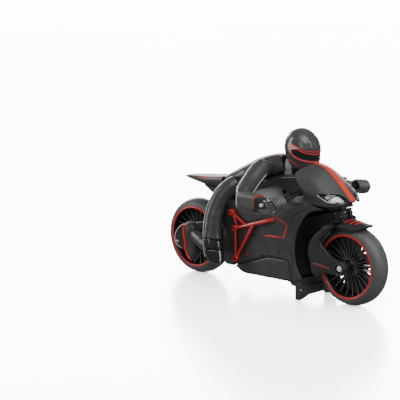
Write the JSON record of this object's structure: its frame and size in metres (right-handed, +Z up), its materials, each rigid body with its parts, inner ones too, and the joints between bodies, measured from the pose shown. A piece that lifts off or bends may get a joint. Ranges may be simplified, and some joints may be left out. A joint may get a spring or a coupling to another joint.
{
  "type": "radio-controlled motorcycle",
  "caption": "Radio-controlled sport motorcycle with a moulded rider, steered front fork, spoked wheels, belt-driven rear wheel, gyroscope, battery door and turning helmet.",
  "frame": {"origin": "on the ground, midway between the two axles, in the bike's middle plane", "axes": "+X forward, +Y to the bike's left, +Z up"},
  "size_m": [0.296, 0.149, 0.1735],
  "materials": {
    "front_tyre": "matte",
    "front_rim": "gloss",
    "rear_tyre": "matte",
    "rear_rim": "gloss",
    "rear_axle": "brushed",
    "fork_leg_right": "satin",
    "fork_leg_left": "satin",
    "front_axle_cap_right": "mirror",
    "front_axle_cap_left": "mirror",
    "front_axle": "brushed",
    "front_mudguard": "satin",
    "fork_crown": "satin",
    "servo_lever": "satin",
    "steering_link": "satin",
    "steering_servo": "satin",
    "chassis": "satin",
    "swingarm_right": "satin",
    "swingarm_left": "satin",
    "drive_belt": "matte",
    "drive_motor": "brushed",
    "motor_pulley": "satin",
    "gyro_flywheel": "brushed",
    "gyro_motor": "brushed",
    "receiver_board": "matte",
    "side_fairing_right": "satin",
    "side_fairing_left": "satin",
    "battery_door": "satin",
    "power_switch": "gloss",
    "battery_pack": "satin",
    "belly_pan": "satin",
    "wheel_well_liner": "satin",
    "upper_cowl": "satin",
    "headlamp_lens_right": "clear",
    "headlamp_lens_left": "clear",
    "headlamp_reflector_right": "mirror",
    "headlamp_reflector_left": "mirror",
    "tank_cover": "satin",
    "seat": "matte",
    "tail_cowl": "gloss",
    "tail_bracket": "satin",
    "trellis_frame_right": "gloss",
    "trellis_frame_left": "gloss",
    "skid_bracket": "satin",
    "torso": "matte",
    "helmet": "gloss",
    "visor": "gloss",
    "arm_right": "matte",
    "arm_left": "matte",
    "wrist_pin_right": "mirror",
    "wrist_pin_left": "mirror",
    "hand_right": "satin",
    "hand_left": "satin",
    "handlebar_right": "brushed",
    "handlebar_left": "brushed",
    "leg_right": "matte",
    "leg_left": "matte",
    "boot_right": "satin",
    "boot_left": "satin"
  },
  "bodies": {
    "bike": {"rear_axle": "rear_axle", "steering_servo": "steering_servo", "chassis": "chassis", "swingarm_right": "swingarm_right", "swingarm_left": "swingarm_left", "drive_belt": "drive_belt", "drive_motor": "drive_motor", "gyro_motor": "gyro_motor", "receiver_board": "receiver_board", "side_fairing_right": "side_fairing_right", "side_fairing_left": "side_fairing_left", "battery_pack": "battery_pack", "belly_pan": "belly_pan", "wheel_well_liner": "wheel_well_liner", "upper_cowl": "upper_cowl", "headlamp_lens_right": "headlamp_lens_right", "headlamp_lens_left": "headlamp_lens_left", "headlamp_reflector_right": "headlamp_reflector_right", "headlamp_reflector_left": "headlamp_reflector_left", "tank_cover": "tank_cover", "seat": "seat", "tail_cowl": "tail_cowl", "tail_bracket": "tail_bracket", "trellis_frame_right": "trellis_frame_right", "trellis_frame_left": "trellis_frame_left", "skid_bracket": "skid_bracket", "torso": "torso", "arm_right": "arm_right", "arm_left": "arm_left", "wrist_pin_right": "wrist_pin_right", "wrist_pin_left": "wrist_pin_left", "hand_right": "hand_right", "hand_left": "hand_left", "handlebar_right": "handlebar_right", "handlebar_left": "handlebar_left", "leg_right": "leg_right", "leg_left": "leg_left", "boot_right": "boot_right", "boot_left": "boot_left"},
    "fork": {"fork_leg_right": "fork_leg_right", "fork_leg_left": "fork_leg_left", "front_axle_cap_right": "front_axle_cap_right", "front_axle_cap_left": "front_axle_cap_left", "front_axle": "front_axle", "front_mudguard": "front_mudguard", "fork_crown": "fork_crown"},
    "front_wheel": {"front_tyre": "front_tyre", "front_rim": "front_rim"},
    "rear_wheel": {"rear_tyre": "rear_tyre", "rear_rim": "rear_rim"},
    "servo_horn": {"servo_lever": "servo_lever"},
    "link": {"steering_link": "steering_link"},
    "motor_drive": {"motor_pulley": "motor_pulley"},
    "gyro": {"gyro_flywheel": "gyro_flywheel"},
    "door": {"battery_door": "battery_door"},
    "switch": {"power_switch": "power_switch"},
    "head": {"helmet": "helmet", "visor": "visor"}
  },
  "joints": [
    {"name": "steering", "type": "hinge", "parent": "bike", "child": "fork", "pos_m": [0.107, 0, 0.041], "axis": [-0.2588, 0, 0.9659], "range_deg": [-16, 16]},
    {"name": "front_wheel_spin", "type": "hinge", "parent": "fork", "child": "front_wheel", "pos_m": [0.107, 0, 0.041], "axis": [0, 1, 0], "continuous": true},
    {"name": "rear_wheel_spin", "type": "hinge", "parent": "bike", "child": "rear_wheel", "pos_m": [-0.107, 0, 0.041], "axis": [0, 1, 0], "continuous": true},
    {"name": "motor_spin", "type": "hinge", "parent": "bike", "child": "motor_drive", "pos_m": [-0.048, 0.0145, 0.046], "axis": [0, 1, 0], "continuous": true},
    {"name": "gyro_spin", "type": "hinge", "parent": "bike", "child": "gyro", "pos_m": [0.008, -0.004, 0.063], "axis": [0, 1, 0], "continuous": true},
    {"name": "servo_turn", "type": "hinge", "parent": "bike", "child": "servo_horn", "pos_m": [0.06122, 0, 0.10369], "axis": [-0.2588, 0, 0.9659], "range_deg": [-16, 16]},
    {"name": "link_swing", "type": "hinge", "parent": "servo_horn", "child": "link", "pos_m": [0.06059, 0.008, 0.106], "axis": [-0.2588, 0, 0.9659], "range_deg": [-16, 16]},
    {"name": "battery_door_hinge", "type": "hinge", "parent": "bike", "child": "door", "pos_m": [0.0165, 0.0267, 0.0491], "axis": [-1, 0, 0], "range_deg": [0, 100]},
    {"name": "switch_slide", "type": "slide", "parent": "bike", "child": "switch", "axis": [1, 0, 0], "range_m": [0, 0.003]},
    {"name": "head_turn", "type": "hinge", "parent": "bike", "child": "head", "pos_m": [0.03, 0, 0.1318], "axis": [0, 0, 1], "range_deg": [-35, 35]}
  ],
  "couplings": [
    {"joint": "motor_spin", "follows": "rear_wheel_spin", "ratio": 2.1346},
    {"joint": "servo_turn", "follows": "steering", "ratio": 1},
    {"joint": "link_swing", "follows": "steering", "ratio": -1}
  ]
}
